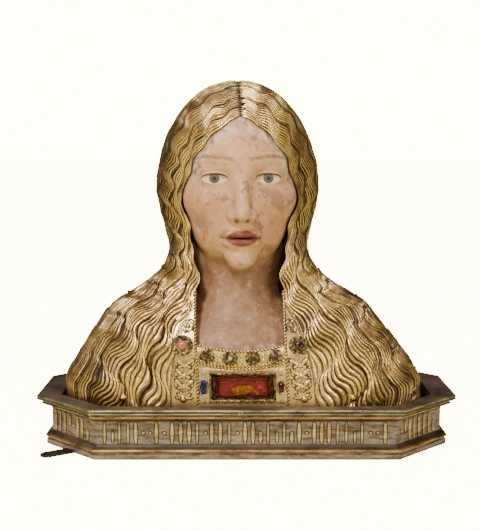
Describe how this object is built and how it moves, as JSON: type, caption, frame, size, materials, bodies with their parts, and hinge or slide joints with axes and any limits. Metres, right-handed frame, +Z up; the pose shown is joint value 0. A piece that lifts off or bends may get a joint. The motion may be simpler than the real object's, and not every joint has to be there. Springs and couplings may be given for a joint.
{
  "type": "bust reliquary",
  "caption": "Life-size gilt copper reliquary bust with a painted face, long chased hair, set stones and a glazed relic window, on a moulded octagonal base",
  "frame": {"origin": "on the floor under the middle of the octagonal base's own box", "axes": "+Z up, the face looks towards -Y, +X is the viewer's right"},
  "size_m": [0.5, 0.26, 0.4333],
  "materials": {
    "gilt_copper": "worn mercury gilding over copper sheet",
    "painted_flesh": "old flesh paint, crackled and rubbed",
    "dark_silver": "oxidised silver",
    "oak": "raw, dark with age",
    "iron": "forged, blackened",
    "crystal": "polished",
    "coral": "polished coral, slightly matt",
    "dark_glass": "polished",
    "blue_glass": "polished",
    "garnet": "polished",
    "pearl": "satin"
  },
  "bodies": {
    "root": {"base_frame": "gilt_copper", "bottom_board": "oak", "iron_tongue": "iron", "hair_and_shoulders": "gilt_copper", "face_and_neck": "painted_flesh", "relic_case": "gilt_copper", "window_collet": "dark_silver", "window_crystal": "crystal", "rosette_1": "dark_silver", "rosette_2": "dark_silver", "rosette_3": "dark_silver", "rosette_4": "dark_silver", "rosette_stone_1": "garnet", "rosette_stone_2": "garnet", "rosette_stone_3": "garnet", "rosette_stone_4": "garnet", "coral_setting": "dark_silver", "coral_stone": "coral", "dark_setting": "dark_silver", "dark_stone": "dark_glass", "blue_setting": "dark_silver", "blue_stone": "blue_glass", "red_setting": "dark_silver", "red_stone": "garnet", "upper_pearl_by_blue": "pearl", "lower_pearl_by_blue": "pearl", "upper_pearl_by_red": "pearl", "lower_pearl_by_red": "pearl", "fixing_stud_1": "gilt_copper", "fixing_stud_2": "gilt_copper", "fixing_stud_3": "gilt_copper", "fixing_stud_4": "gilt_copper"}
  },
  "joints": []
}
